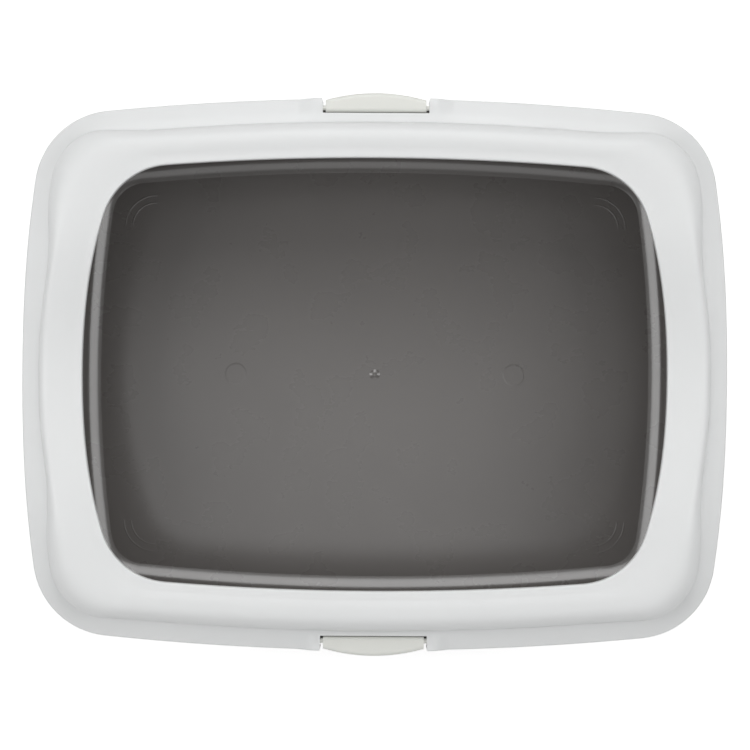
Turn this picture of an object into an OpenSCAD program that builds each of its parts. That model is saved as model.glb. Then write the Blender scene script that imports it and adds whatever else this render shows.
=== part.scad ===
// Cat litter tray: a deep pan, a clip-on splash rim and two snap latches that hold the rim down.
// Millimetres. X runs along the tray, -Y is the front, Z is up and z = 0 is the floor it stands on.

/* [Rim outline] */
// Length of the rim, left to right
rim_l = 500; // [420:1:620]
// Width of the rim, front to back
rim_w = 390; // [330:1:480]
// Bow radius of the two short sides
bow_side = 990; // [700:10:2000]
// Bow radius of the two long sides
bow_long = 1900; // [1500:10:4000]
// Radius of the four corners
corner_r = 57; // [48:1:75]

/* [Rim section] */
// Height of the rim's outer edge above the floor
edge_z = 120; // [95:1:150]
// Rise of the sloping ledge, from its outer edge to the crease
ledge_rise = 6; // [5:0.5:9]
// Depth of the skirt that hangs over the pan's flange
skirt_h = 13; // [11:0.5:18]
// Rise of the collar, from the crease to its crest
collar_rise = 24; // [18:0.5:36]
// Drop of the ledge at the middle of the short sides
ledge_dip = 5; // [0:0.5:8]
// Drop of the collar's crest at the middle of the short sides
collar_dip = 17; // [6:0.5:20]
// Half length of the dipped stretch
dip_half = 115; // [80:1:130]
// Wall of the rim
rim_wall = 2.3; // [1.8:0.1:3]

/* [Rim places, measured in from the outer edge] */
// End of the sloping ledge
ledge_in = 13; // [11:0.5:13.5]
// Width of the level shelf between ledge and collar, at its widest on the short sides
shelf_side = 4; // [0:0.5:5]
// Width of that shelf at the front
shelf_front = 1.5; // [0:0.5:5]
// Width of that shelf at the back
shelf_back = 4.5; // [0:0.5:5]
// Half length of the stretch of a short side that has a shelf
shelf_half = 125; // [90:1:135]
// Crest of the collar at the short sides
crest_in_side = 21; // [20.5:0.5:26]
// Crest of the collar at the front
crest_in_front = 33; // [28:0.5:35]
// Crest of the collar at the back
crest_in_back = 31; // [28:0.5:35]
// Edge of the opening at the short sides
mouth_in_side = 45; // [40:0.5:60]
// Edge of the opening at the front and the back
mouth_in_long = 45; // [42:0.5:60]
// Run of the lip that rolls down to the opening
lip_run = 5.5; // [4:0.5:7]
// Drop of that lip
lip_drop = 4; // [3.5:0.5:12]

/* [Pan] */
// Wall of the pan
pan_wall = 2.4; // [2:0.1:3.2]
// Thickness of the pan's floor
floor_t = 2.6; // [2:0.1:4]
// Lean-in of the pan's wall, from its mouth to the floor fillet
wall_lean = 9; // [6:0.5:22]
// Radius of the fillet between floor and wall
floor_fillet = 14; // [8:0.5:18]
// Radius of the floor's corners
floor_corner_r = 25; // [20:1:45]
// Width of the flange that carries the rim
flange_w = 15.3; // [12:0.1:15.5]
// Depth of the flange's turned-down edge
flange_h = 8.5; // [6:0.5:9]
// Height of the feet under the pan
foot_h = 2; // [1:0.5:4]
// Diameter of the two round feet
foot_d = 17; // [10:1:30]
// Distance between the two round feet
foot_pitch = 212; // [120:1:280]

/* [Latches] */
// Width of a latch
latch_w = 71; // [50:1:90]
// Gap between a latch's end and the notch
latch_end_gap = 2; // [1:0.25:3]
// Gap between a latch's barrel and the notch wall
latch_back_gap = 0.7; // [0.4:0.1:1.2]
// Radius of a latch's hinge barrel, which is also its plate's thickness
barrel_r = 3; // [2.5:0.1:3.5]
// How far the latch's middle stands out past the rim
latch_out = 3.2; // [1:0.1:6]
// How far the latch's outer edge bows
latch_bow = 5; // [3:0.1:7]
// Distance of the hinge axis from the rim's outer edge
pivot_in = 7.5; // [7:0.1:8.5]
// Depth of the latch below its hinge axis
latch_h = 20; // [16:0.5:26]
// Wall of the latch
latch_wall = 2.4; // [1.8:0.1:3]
// Rounding of the latch's top outer edge
latch_round = 3.5; // [2:0.1:4.5]
// Width of each of the two hooks
hook_w = 14; // [8:0.5:20]
// Diameter of the latch's trunnions
trunnion_d = 3.5; // [2.5:0.1:3.6]
// Engaged length of a trunnion in its socket
trunnion_l = 3.5; // [2:0.5:5]

/* [Clearances] */
// Running clearance of a trunnion, on the radius
trunnion_gap = 0.08; // [0.03:0.01:0.1]
// Clearance between the rim and the pan's flange
seat_gap = 0.4; // [0.3:0.05:0.6]
// Clearance between the rim's inner flange and the pan's mouth
mouth_gap = 0.6; // [0.3:0.05:1]
// Clearance between a hook and the pan's flange
hook_gap = 0.4; // [0.3:0.05:0.6]

/* [Hidden] */

SIDE_STEPS = 6;
CORNER_STEPS = 10;
LONG_STEPS = 8;
WALL_STEPS = 5;
LIP_STEPS = 4;
FILLET_STEPS = 3;
SMALL_FN = 48;
WIDE_FN = 360;
OVER = 1;
// Overlap of shapes that are joined face to face
JOIN = 0.01;
// How far the middle of a rounded edge lies inside its corner, as a share of the radius
ROUND_MID = 1 - sqrt(0.5);

a0 = rim_l / 2;
b0 = rim_w / 2;

// Rim
crease_z = edge_z + ledge_rise;
crest_z = crease_z + collar_rise;
edge_round = 1.5;
skirt_draft = 0.4;
shelf_rise = 0.8;
crease_run = 0.5;
foot_in = ledge_in + crease_run;
// The shelves of the front and the back run out between these distances from the middle
shelf_full_x = a0 - 100;
shelf_end_x = a0 - 35;
// The collar's crest and its opening are bowed more than the outer edge
crest_bow = 367;
crest_corner_r = 37;
mouth_corner_r = 49;
// Roundness of the collar's wall: 1 is a straight slope, more is fuller
crest_power = 2.4;
plateau_drop = 2;
lip_top_z = crest_z - plateau_drop;
lip_tip_t = rim_wall - 0.4;
lip_tip_rise = 0.6;
// Squareness of the lip's roll: 1 is a quarter ellipse, less keeps it level up to a tighter corner
lip_power = 0.5;
lip_corner_run = rim_wall + 0.6;
under_ledge_z = crease_z - 3.2;

// Pan
floor_z = foot_h + floor_t;
flange_top_z = edge_z - rim_wall - seat_gap + 0.3;
flange_t = 2.6;
flange_under_z = flange_top_z - flange_t;
flange_edge_in = rim_wall + seat_gap;
flange_round = 1;
flange_edge_t = 2;
mouth_in = flange_edge_in + flange_w;
mouth_z = edge_z - 3;
bead_rise = 1.4;
bead_run = 0.8;
floor_bow_side = 890;
floor_bow_long = 1800;
fillet_in = mouth_in + wall_lean;
floor_in = fillet_in + floor_fillet;
under_fillet_r = floor_fillet + pan_wall;

// Two arc-shaped feet run around each corner of the floor, about a place this far inside its edge
foot_arc_in = 42;
foot_arc_r = [17, 22.5];
foot_arc_w = 3;
foot_arc_x = a0 - floor_in - foot_arc_in;
foot_arc_y = b0 - floor_in - foot_arc_in;

// Outer face of the rim's inner flange, just inside the pan's mouth; it leans in twice as much as
// the pan's wall, because the wall leans more at the corners
inner_in = mouth_in + mouth_gap;
inner_flange_t = 2;
inner_flange_z = edge_z - 8;
inner_lean = 2 * (mouth_z - inner_flange_z) * wall_lean / (mouth_z - floor_z - floor_fillet);
inner_back_in = inner_in + inner_flange_t;
under_crest_z = crest_z - 10.5;
under_crest_dip = max(0, collar_dip - 7);

// Latches
platform_flat = 5.5;
platform_ramp = 11;
platform_top_t = 1;
notch_w = latch_w + 2 * latch_end_gap;
platform_w = notch_w + 2 * platform_flat;
pivot_y = b0 - pivot_in;
pivot_z = crease_z - barrel_r;
notch_y = pivot_y - barrel_r - latch_back_gap;
socket_l = trunnion_l + 0.5;
socket_r = trunnion_d / 2 + trunnion_gap;
cheek_w = socket_l + 1.5;
cheek_r = socket_r + 1.1;
cheek_top = barrel_r - 0.5;
latch_reach = pivot_in + latch_out;
latch_arc_r = (latch_bow ^ 2 + (latch_w / 2) ^ 2) / (2 * latch_bow);
latch_arc_y = latch_reach - latch_arc_r;
recess_out = 1.4;
hook_r = norm([recess_out, pivot_z - flange_under_z + 0.1]) + hook_gap;
hook_t = 2.6;
hook_root = hook_r * 0.8;
hook_tip = 1.5;
hook_end_in = 4;

// First quarter of a bowed rounded rectangle, from the X axis to the Y axis.
// a and b are its half sizes, ra and rb the bow radii of the short and the long side.
function quarter(a, b, ra, rb, rc) =
    let (p = [a - ra, 0], q = [0, b - rb], u = q - p, d = norm(u))
    let (along = ((ra - rc) ^ 2 - (rb - rc) ^ 2 + d ^ 2) / (2 * d))
    let (c = p + u * along / d + [-u.y, u.x] / d * sqrt((ra - rc) ^ 2 - along ^ 2))
    let (t1 = atan2(c.y, c.x - p.x), t2 = atan2(c.y - q.y, c.x))
    [
        for (i = [0:SIDE_STEPS])
            p + ra * arc_point(t1 * i / SIDE_STEPS),
        for (i = [1:CORNER_STEPS])
            c + rc * arc_point(t1 + (t2 - t1) * i / CORNER_STEPS),
        for (i = [1:LONG_STEPS])
            q + rb * arc_point(t2 + (90 - t2) * i / LONG_STEPS)
    ];

function arc_point(t) = [cos(t), sin(t)];

// Closed outline, counter-clockwise from the +X axis; the front may be narrower than the back
function outline(a, b_front, b_back, ra, rb, rc) =
    let (back = quarter(a, b_back, ra, rb, rc), front = quarter(a, b_front, ra, rb, rc))
    let (n = len(back) - 1)
    [
        for (i = [0:n - 1]) back[i],
        for (i = [n:-1:1]) [-back[i].x, back[i].y],
        for (i = [0:n - 1]) [-front[i].x, -front[i].y],
        for (i = [n:-1:1]) [front[i].x, -front[i].y]
    ];

// Weight of the dip at a place on the outline: 1 in the middle of a short side, 0 past the dip
function dip_at(y) = (1 + cos(180 * min(1, abs(y) / dip_half))) / 2;

function lifted(points, z, dip) = [for (p = points) [p.x, p.y, z - dip * dip_at(p.y)]];

// Ring parallel to the rim's outer edge
function even_ring(inset, z, dip) =
    lifted(outline(a0 - inset, b0 - inset, b0 - inset, bow_side - inset, bow_long - inset,
                   corner_r - inset), z, dip);

// Shelf weights: widest at two places on a short side, and even along a long side
function side_shelf_at(y) = sin(180 * min(1, abs(y) / shelf_half) ^ 1.5) ^ 2;
function long_shelf_at(x) =
    (1 + cos(180 * max(0, min(1, (abs(x) - shelf_full_x) / (shelf_end_x - shelf_full_x))))) / 2;

// Foot of the collar, where the shelf ends
function foot_ring(z, dip) =
    [for (p = even_ring(foot_in, z, dip))
        [p.x - sign(p.x) * shelf_side * side_shelf_at(p.y),
         p.y - sign(p.y) * (p.y > 0 ? shelf_back : shelf_front) * long_shelf_at(p.x), p.z]];

function crest_ring(z, dip) =
    lifted(outline(a0 - crest_in_side, b0 - crest_in_front, b0 - crest_in_back, crest_bow,
                   bow_long - crest_in_back, crest_corner_r), z, dip);

function mouth_ring(inset, z, dip) =
    lifted(outline(a0 - mouth_in_side + inset, b0 - mouth_in_long + inset,
                   b0 - mouth_in_long + inset, crest_bow + inset,
                   bow_long - mouth_in_long + inset, mouth_corner_r + inset), z, dip);

// Ring of the pan's body, which has a rounder plan than the rim
function body_ring(inset, z) =
    lifted(outline(a0 - inset, b0 - inset, b0 - inset, floor_bow_side - inset + floor_in,
                   floor_bow_long, floor_corner_r + floor_in - inset), z, 0);

function blend(from, to, t) = from + (to - from) * t;

function blend_rings(from, to, across, up) =
    [for (i = [0:len(from) - 1])
        [blend(from[i].x, to[i].x, across), blend(from[i].y, to[i].y, across),
         blend(from[i].z, to[i].z, up)]];

// Faces between one ring and the next
function band(from, to, n) =
    [for (i = [0:n - 1], half = [0, 1])
        let (j = (i + 1) % n)
        half == 0 ? [from + i, to + i, from + j] : [from + j, to + i, to + j]];

function flat_list(lists) = [for (l = lists, e = l) e];

// Closed skin through rings; a tube joins the last ring to the first, a cup caps both ends
module skin(rings, cup = false) {
    n = len(rings[0]);
    last = len(rings) - 1;
    bands = [for (k = [0:last - 1]) band(k * n, (k + 1) * n, n)];
    ends = cup
        ? [[for (i = [n - 1:-1:0]) i], [for (i = [0:n - 1]) last * n + i]]
        : band(last * n, 0, n);
    polyhedron(flat_list(rings), concat(flat_list(bands), ends), convexity = 10);
}

// Points of the collar's outer wall: steep at its foot, flat at its crest
function wall_rings() =
    let (foot = foot_ring(crease_z, ledge_dip), crest = crest_ring(crest_z, collar_dip))
    [for (i = [0:WALL_STEPS])
        let (rise = sin(90 * i / WALL_STEPS))
        blend_rings(foot, crest, 1 - (1 - rise ^ crest_power) ^ (1 / crest_power), rise)];

function lip_rings() =
    [for (i = [0:LIP_STEPS])
        let (t = 90 * i / LIP_STEPS)
        mouth_ring(
            lip_run * (1 - sin(t) ^ lip_power),
            lip_top_z - lip_drop * (1 - cos(t) ^ lip_power),
            collar_dip)];

module rim_shell() {
    skin(concat(
        [
            even_ring(rim_wall, edge_z - skirt_h, ledge_dip),
            even_ring(skirt_draft, edge_z - skirt_h, ledge_dip),
            even_ring(0, edge_z - edge_round, ledge_dip),
            even_ring(edge_round * ROUND_MID, edge_z - edge_round * ROUND_MID, ledge_dip),
            even_ring(edge_round, edge_z, ledge_dip),
            even_ring(ledge_in, crease_z - shelf_rise, ledge_dip)
        ],
        wall_rings(),
        lip_rings(),
        [
            mouth_ring(lip_tip_t, lip_top_z - lip_drop + lip_tip_rise, collar_dip),
            mouth_ring(lip_corner_run, lip_top_z - rim_wall, collar_dip),
            crest_ring(crest_z - rim_wall, collar_dip),
            even_ring(inner_back_in, under_crest_z, under_crest_dip),
            even_ring(inner_back_in + inner_lean, inner_flange_z, ledge_dip),
            even_ring(inner_in + inner_lean, inner_flange_z, ledge_dip),
            even_ring(inner_in, under_ledge_z, ledge_dip),
            even_ring(ledge_in, under_ledge_z, ledge_dip),
            even_ring(rim_wall, edge_z - rim_wall, ledge_dip)
        ]));
}

// Both long sides carry the same shapes: at the back as written, at the front mirrored
module at_side(side) {
    if (side > 0)
        children();
    else
        mirror([0, 1, 0]) children();
}

// Level platform around the notch, with a ramp at each end and the rim's own bow outside.
// It fills the wedge over the sloping ledge and grows out of the ledge's wall.
module platform() {
    low = platform_w / 2 + platform_ramp;
    high = platform_w / 2;
    deep = rim_wall / 2;
    intersection() {
        translate([0, b0, 0]) rotate([90, 0, 0])
            linear_extrude(foot_in + OVER)
                polygon([[-low, edge_z - deep], [low, edge_z - deep], [low, edge_z],
                         [high, crease_z], [-high, crease_z], [-low, edge_z]]);
        translate([-low, 0, 0]) rotate([90, 0, 90])
            linear_extrude(2 * low)
                polygon([[b0, edge_z - deep], [b0, crease_z], [b0 - foot_in - OVER, crease_z],
                         [b0 - foot_in - OVER, crease_z - deep], [b0 - foot_in, crease_z - rim_wall]]);
        translate([0, b0 - bow_long, 0])
            cylinder(h = crest_z, r = bow_long, $fn = WIDE_FN);
    }
    translate([0, b0 - bow_long, 0])
        intersection() {
            difference() {
                cylinder(h = crease_z - platform_top_t, r = bow_long, $fn = WIDE_FN);
                cylinder(h = 2 * crest_z, r = bow_long - rim_wall, center = true, $fn = WIDE_FN);
            }
            translate([-high, 0, edge_z - skirt_h])
                cube([2 * high, 2 * bow_long, crease_z]);
        }
}

// Block beside the notch that holds a trunnion's socket
module cheek(x) {
    translate([x, pivot_y, pivot_z]) rotate([0, 90, 0])
        cylinder(h = cheek_w, r = cheek_r, $fn = SMALL_FN);
    translate([x, pivot_y - cheek_r, pivot_z])
        cube([cheek_w, 2 * cheek_r, cheek_top]);
}

module notch() {
    translate([-notch_w / 2, notch_y, edge_z - skirt_h - OVER])
        cube([notch_w, pivot_in + barrel_r + latch_back_gap + latch_out, crest_z]);
}

module rim() {
    color([0.93, 0.93, 0.93]) difference() {
        union() {
            rim_shell();
            for (side = [-1, 1]) at_side(side) {
                platform();
                cheek(notch_w / 2 - JOIN);
                mirror([1, 0, 0]) cheek(notch_w / 2 - JOIN);
            }
        }
        for (side = [-1, 1]) at_side(side) {
            notch();
            translate([-notch_w / 2 - socket_l, pivot_y, pivot_z]) rotate([0, 90, 0])
                cylinder(h = notch_w + 2 * socket_l, r = socket_r, $fn = SMALL_FN);
        }
    }
}

// The pan's shell, from the edge of its floor up over the flange and down to its underside
module pan_shell() {
    fillet = [for (i = [0:FILLET_STEPS])
        let (t = 90 * i / FILLET_STEPS)
        body_ring(floor_in - floor_fillet * sin(t), floor_z + floor_fillet * (1 - cos(t)))];
    under = [for (i = [FILLET_STEPS:-1:0])
        let (t = 90 * i / FILLET_STEPS)
        body_ring(floor_in - under_fillet_r * sin(t), foot_h + under_fillet_r * (1 - cos(t)))];
    skin(concat(
        fillet,
        [
            even_ring(mouth_in, mouth_z, ledge_dip),
            even_ring(mouth_in - bead_run, flange_top_z + bead_rise, ledge_dip),
            even_ring(flange_edge_in + flange_round, flange_top_z, ledge_dip),
            even_ring(flange_edge_in, flange_top_z - flange_round, ledge_dip),
            even_ring(flange_edge_in, flange_top_z - flange_h, ledge_dip),
            even_ring(flange_edge_in + flange_edge_t, flange_top_z - flange_h, ledge_dip),
            even_ring(flange_edge_in + flange_edge_t, flange_under_z, ledge_dip),
            even_ring(mouth_in - pan_wall - flange_round, flange_under_z + flange_round, ledge_dip),
            even_ring(mouth_in - pan_wall, flange_under_z, ledge_dip)
        ],
        under), cup = true);
}

module round_foot(x) {
    translate([x, 0, 0]) cylinder(h = foot_h + floor_t / 2, d = foot_d, $fn = SMALL_FN);
}

module corner_feet() {
    for (r = foot_arc_r)
        translate([foot_arc_x, foot_arc_y, 0])
            rotate_extrude(angle = 90, $fn = SMALL_FN)
                translate([r, 0]) square([foot_arc_w, foot_h + floor_t / 2]);
}

// Gap in the flange's turned-down edge where a latch hooks under the flange
module flange_recess() {
    translate([-notch_w / 2 - OVER, pivot_y + recess_out, flange_top_z - flange_h - OVER])
        cube([notch_w + 2 * OVER, pivot_in, flange_h + 3 * OVER]);
}

module pan() {
    color([0.31, 0.30, 0.29]) difference() {
        union() {
            pan_shell();
            round_foot(foot_pitch / 2);
            round_foot(-foot_pitch / 2);
            for (mx = [0, 1], my = [0, 1])
                mirror([mx, 0, 0]) mirror([0, my, 0]) corner_feet();
        }
        for (side = [-1, 1]) at_side(side) flange_recess();
    }
}

// Section of the latch's plate and outer wall, with X outwards from the arc's centre
module latch_section() {
    r = latch_arc_r;
    inner = r - latch_bow - pivot_in - OVER;
    difference() {
        union() {
            translate([inner, 0]) square([r - inner - latch_round, barrel_r]);
            translate([r - latch_wall - latch_round, -latch_h])
                square([latch_wall + latch_round, latch_h + barrel_r - latch_round]);
            translate([r - latch_round, barrel_r - latch_round]) circle(latch_round, $fn = SMALL_FN);
        }
        translate([r - latch_wall - 2 * latch_round, -latch_h - OVER])
            square([2 * latch_round, latch_h + OVER]);
    }
}

// A latch in its own frame: the hinge axis lies on X and Y points outwards
module latch_body() {
    intersection() {
        translate([0, latch_arc_y, 0]) rotate([0, 0, 45])
            rotate_extrude(angle = 90, $fn = WIDE_FN) latch_section();
        translate([-latch_w / 2, 0, -latch_h])
            cube([latch_w, latch_reach + OVER, latch_h + barrel_r]);
    }
    translate([-latch_w / 2, 0, 0]) rotate([0, 90, 0])
        cylinder(h = latch_w, r = barrel_r, $fn = SMALL_FN);
    translate([-notch_w / 2 - trunnion_l, 0, 0]) rotate([0, 90, 0])
        cylinder(h = notch_w + 2 * trunnion_l, r = trunnion_d / 2, $fn = SMALL_FN);
}

// Hook that reaches under the pan's flange; its top is an arc about the hinge axis
module hook(x) {
    difference() {
        translate([x - hook_w / 2, -hook_tip, -hook_r - hook_t])
            cube([hook_w, latch_reach - latch_wall / 2 + hook_tip - hook_bow(x),
                  hook_r + hook_t - hook_root]);
        translate([x - hook_w / 2 - OVER, 0, 0]) rotate([0, 90, 0])
            cylinder(h = hook_w + 2 * OVER, r = hook_r, $fn = SMALL_FN);
    }
}

// How far the outer wall has curved back at the far side of a hook
function hook_bow(x) =
    latch_arc_r - sqrt(latch_arc_r ^ 2 - (abs(x) + hook_w / 2) ^ 2);

module latch() {
    latch_body();
    for (x = [-1, 1] * (latch_w / 2 - hook_w / 2 - hook_end_in)) hook(x);
}

module front_latch() {
    color([0.89, 0.89, 0.86])
        at_side(-1) translate([0, pivot_y, pivot_z]) latch();
}

module rear_latch() {
    color([0.89, 0.89, 0.86])
        at_side(1) translate([0, pivot_y, pivot_z]) latch();
}

pan();
rim();
front_latch();
rear_latch();
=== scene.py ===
"""Cat litter tray: a dark pan, a white clip-on splash rim and two snap latches.

The frame is the CAD model's: metres, +X to the right, +Y to the back, +Z up, z = 0 on the floor.
"""

import math

import bmesh
import bpy
from bpy.props import FloatProperty, FloatVectorProperty, IntProperty, PointerProperty
from mathutils import Matrix, Vector


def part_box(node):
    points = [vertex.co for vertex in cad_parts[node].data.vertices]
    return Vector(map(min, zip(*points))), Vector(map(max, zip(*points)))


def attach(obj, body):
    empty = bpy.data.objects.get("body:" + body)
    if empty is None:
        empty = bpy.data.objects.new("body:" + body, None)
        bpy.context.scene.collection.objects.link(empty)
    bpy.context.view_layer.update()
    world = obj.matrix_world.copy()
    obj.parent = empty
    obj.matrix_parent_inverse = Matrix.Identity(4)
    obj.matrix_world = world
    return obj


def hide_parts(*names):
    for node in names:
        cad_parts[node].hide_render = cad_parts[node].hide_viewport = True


bl_info = {
    "name": "Litter Tray",
    "version": (1, 0, 0),
    "blender": (4, 5, 0),
    "location": "View3D > Sidebar > Litter Tray",
    "description": "Builds a litter pan, its clip-on splash rim and the two latches that hold it",
    "category": "Object",
}

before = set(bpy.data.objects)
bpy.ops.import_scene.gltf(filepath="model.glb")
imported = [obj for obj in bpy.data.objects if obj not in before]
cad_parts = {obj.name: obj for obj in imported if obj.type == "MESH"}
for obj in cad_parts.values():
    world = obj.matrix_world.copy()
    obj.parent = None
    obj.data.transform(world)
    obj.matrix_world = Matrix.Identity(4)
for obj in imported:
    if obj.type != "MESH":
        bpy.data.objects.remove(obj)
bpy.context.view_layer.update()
RIM_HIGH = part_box("rim")[1]
LATCH_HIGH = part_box("rear_latch")[1]
MM = 0.001
WELD = 1e-7
SMOOTH_BELOW = 35


# ---------------------------------------------------------------- settings


def length(name, description, default):
    """A size in metres that the user may change."""
    return FloatProperty(
        name=name, description=description, default=default, unit="LENGTH", precision=4
    )


def colour(name, description, default):
    return FloatVectorProperty(
        name=name, description=description, default=default, subtype="COLOR", min=0, max=1
    )


class RimSettings(bpy.types.PropertyGroup):
    """Sizes of the splash rim, which the pan's flange follows."""

    half_length: length("Half length", "From the middle to the short sides", RIM_HIGH.x)
    half_width: length("Half width", "From the middle to the long sides", 195 * MM)
    bow_side: length("Side bow", "Bow radius of the short sides", 990 * MM)
    bow_long: length("Long bow", "Bow radius of the long sides", 1900 * MM)
    corner: length("Corner", "Radius of the outer corners", 57 * MM)
    edge_height: length("Edge height", "Height of the outer edge", 120 * MM)
    ledge_rise: length("Ledge rise", "From the outer edge up to the crease", 6 * MM)
    ledge_width: length("Ledge width", "From the outer edge in to the shelf", 13 * MM)
    ledge_dip: length("Ledge dip", "Drop at the middle of the short sides", 5 * MM)
    skirt: length("Skirt", "Depth of the skirt over the flange", 13 * MM)
    wall: length("Wall", "Thickness of the moulding", 2.3 * MM)
    collar_dip: length("Collar dip", "Drop of the crest there", 17 * MM)
    dip_half: length("Dip half length", "Half length of the dipped stretch", 115 * MM)
    shelf_side: length("Side shelf", "Widest shelf of the short sides", 4 * MM)
    shelf_front: length("Front shelf", "Shelf along the front", 1.5 * MM)
    shelf_back: length("Back shelf", "Shelf along the back", 4.5 * MM)
    shelf_half: length("Shelf half length", "Where a side's shelf runs out", 125 * MM)
    crest_side: length("Side crest", "From a short side in to the crest", 21 * MM)
    crest_front: length("Front crest", "From the front in to the crest", 33 * MM)
    crest_back: length("Back crest", "From the back in to the crest", 31 * MM)
    crest_corner: length("Crest corner", "Corner radius of the crest", 37 * MM)
    collar_bow: length("Collar bow", "Bow of the crest's short sides", 367 * MM)
    mouth: length("Opening", "From the outer edge in to the opening", 45 * MM)
    mouth_corner: length("Opening corner", "Corner radius of the opening", 49 * MM)
    lip_run: length("Lip run", "Width of the lip that rolls down", 5.5 * MM)
    lip_drop: length("Lip drop", "Drop of that lip", 4 * MM)
    platform_flat: length("Platform", "Half length of the level platform", 43 * MM)
    platform_ramp: length("Ramp", "Length of the ramps beside it", 13 * MM)
    colour: colour("Colour", "White moulded plastic", (0.79, 0.80, 0.80))


class PanSettings(bpy.types.PropertyGroup):
    """Sizes of the pan, measured in from the rim's outer edge where nothing else is said."""

    mouth: length("Mouth", "Inner edge of the pan's mouth", 18 * MM)
    lean: length("Wall lean", "From the mouth in to the floor fillet", 9 * MM)
    fillet: length("Floor fillet", "Radius between floor and wall", 14 * MM)
    floor_crease: FloatProperty(
        name="Floor crease", description="Between floor and fillet", default=0.2, subtype="ANGLE"
    )
    foot_height: length("Foot height", "Height of the feet", 2 * MM)
    wall: length("Wall", "Thickness of the pan's wall", 2.4 * MM)
    flange_edge: length("Flange edge", "Outer face of the flange", 2.7 * MM)
    flange_height: length("Flange height", "Top of the flange's outer edge", 117.6 * MM)
    flange_drop: length("Flange drop", "Depth of its turned-down edge", 8.5 * MM)
    floor_thickness: length("Floor thickness", "Thickness of the floor", 2.6 * MM)
    floor_corner: length("Floor corner", "Corner radius of the floor", 25 * MM)
    floor_bow_side: length("Floor side bow", "Bow of the floor's short sides", 890 * MM)
    floor_bow_long: length("Floor long bow", "Bow of the floor's long sides", 1800 * MM)
    foot_pitch: length("Foot pitch", "Between the two round feet", 212 * MM)
    foot_width: length("Foot width", "Diameter of a round foot", 17 * MM)
    disc_height: length("Disc height", "Height of the discs over the feet", 0.08 * MM)
    nub_width: length("Nub width", "Diameter of the moulding gate's nub", 8 * MM)
    nub_height: length("Nub height", "Height of that nub", 0.9 * MM)
    arc_inset: length("Arc inset", "Centre of the corner feet, from the floor's edge", 42 * MM)
    arc_inner: length("Inner arc", "Inner radius of the inner corner foot", 17 * MM)
    arc_outer: length("Outer arc", "Inner radius of the outer corner foot", 22.5 * MM)
    arc_width: length("Arc width", "Width of a corner foot", 3 * MM)
    colour: colour("Colour", "Dark warm grey moulded plastic", (0.128, 0.119, 0.113))


class LatchSettings(bpy.types.PropertyGroup):
    """Sizes of the two latches and of the notches that hold them."""

    width: length("Width", "End to end", 71 * MM)
    end_gap: length("End gap", "Between a latch and its notch", 2 * MM)
    back_gap: length("Back gap", "Between the barrel and the notch", 0.7 * MM)
    barrel: length("Barrel", "Radius of the hinge barrel", 3 * MM)
    hinge_inset: length("Hinge inset", "From the rim's edge to the axis", 7.5 * MM)
    hinge_height: length("Hinge height", "Height of the hinge axis", 123 * MM)
    reach: length("Reach", "From the axis out to the apex", LATCH_HIGH.y - 187.5 * MM)
    bow: length("Bow", "How far the outer edge bows", 5 * MM)
    drop: length("Drop", "Depth below the hinge axis", 20 * MM)
    wall: length("Wall", "Thickness of the outer wall", 2.4 * MM)
    rounding: length("Rounding", "Radius of the top outer edge", 3.5 * MM)
    trunnion: length("Trunnion", "Radius of the hinge pins", 1.75 * MM)
    hook_width: length("Hook width", "Width of a hook", 14 * MM)
    colour: colour("Colour", "Off-white moulded plastic", (0.77, 0.775, 0.735))


class StageSettings(bpy.types.PropertyGroup):
    """Camera, lamps and floor."""

    camera_height: length("Camera height", "Above the rim's outer edge", 1.4)
    view_width: length("View width", "Width seen at the rim's edge", 0.52925)
    roll: FloatProperty(
        name="Roll", description="Turn of the camera", default=0.0052, subtype="ANGLE"
    )
    back: FloatProperty(name="Back", description="Power of the lamp behind, W", default=17, min=0)
    front: FloatProperty(name="Front", description="Power of the front lamp, W", default=8, min=0)
    right: FloatProperty(name="Right", description="Power of the right lamp, W", default=11, min=0)
    left: FloatProperty(name="Left", description="Power of the left lamp, W", default=12.5, min=0)
    top: FloatProperty(name="Top", description="Power of the lamp above, W", default=2, min=0)
    fill: FloatProperty(name="Fill", description="Strength of the world", default=0.22, min=0)
    floor_size: length("Floor", "Half size of the floor", 4)
    floor_sides: IntProperty(name="Sides", description="Sides of the floor", default=96, min=8)


def settings(name):
    return getattr(bpy.context.scene, name)


# ---------------------------------------------------------------- outlines

SIDE_STEPS = 18
CORNER_STEPS = 16
FAR_STEPS, RAMP_STEPS, NEAR_STEPS = 16, 14, 6


def arc_point(angle):
    return Vector((math.cos(angle), math.sin(angle)))


def long_side_fractions(rim):
    """Places along a long side from its corner, 0, to its middle, 1, closer on the ramps."""
    end = rim.half_length - rim.corner
    ramp_far = (rim.platform_flat + rim.platform_ramp * 1.15) / end
    ramp_near = (rim.platform_flat - rim.platform_ramp * 0.3) / end
    far = [1 + (ramp_far - 1) * i / FAR_STEPS for i in range(1, FAR_STEPS + 1)]
    ramp = [
        ramp_far + (ramp_near - ramp_far) * i / RAMP_STEPS for i in range(1, RAMP_STEPS + 1)
    ]
    near = [ramp_near * (1 - i / NEAR_STEPS) for i in range(1, NEAR_STEPS + 1)]
    return [1 - x for x in far + ramp + near]


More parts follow.
